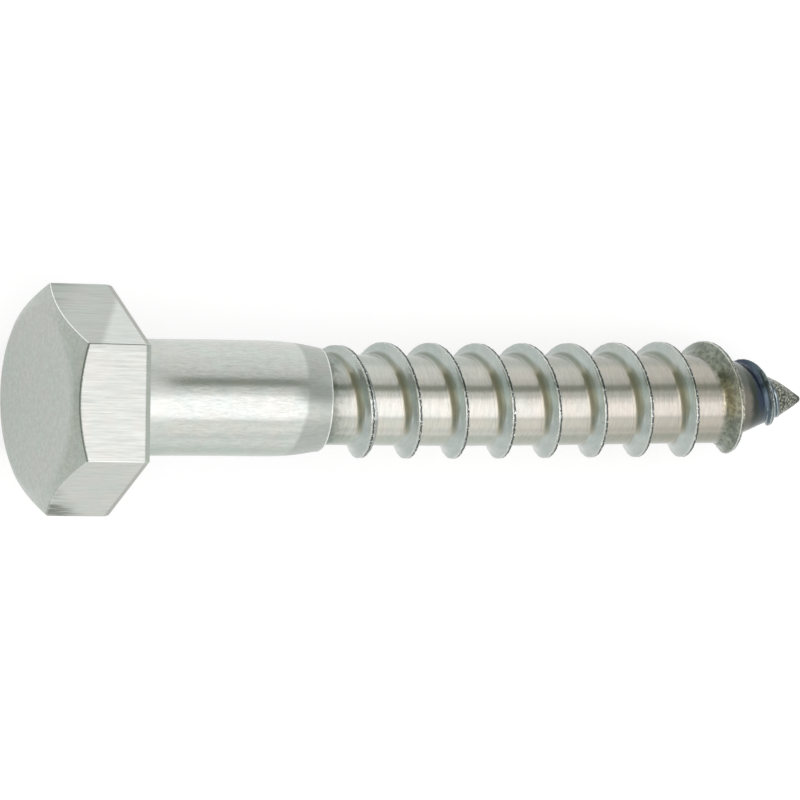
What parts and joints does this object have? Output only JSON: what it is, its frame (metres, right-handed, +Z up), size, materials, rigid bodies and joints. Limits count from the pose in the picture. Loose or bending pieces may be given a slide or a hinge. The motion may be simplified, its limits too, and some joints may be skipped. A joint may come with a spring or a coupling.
{
  "type": "lag screw",
  "caption": "Hexagon head wood screw with a plain shank, a coarse wood thread and a sharp point, turned with a spanner to fasten timber or, in a wall plug, to masonry.",
  "frame": {"origin": "middle of the bounding box's floor: the screw lies at rest on z = 0, on the edge where its bottom flat meets the bevel under the head, and on a thread crest near the point", "axes": "+X is level and towards the point, +Z is up and +Y across the screw; the screw's own axis runs down towards the point by 3.45 degrees, and one flat of the head faces up"},
  "size_m": [0.074, 0.0196, 0.0173],
  "materials": {
    "steel": "bright stainless steel, satin on the head, smoother on the shank, with a warm cast between the threads and a blue heat tint before the point"
  },
  "bodies": {
    "root": {"lag_screw": "steel"}
  },
  "joints": []
}
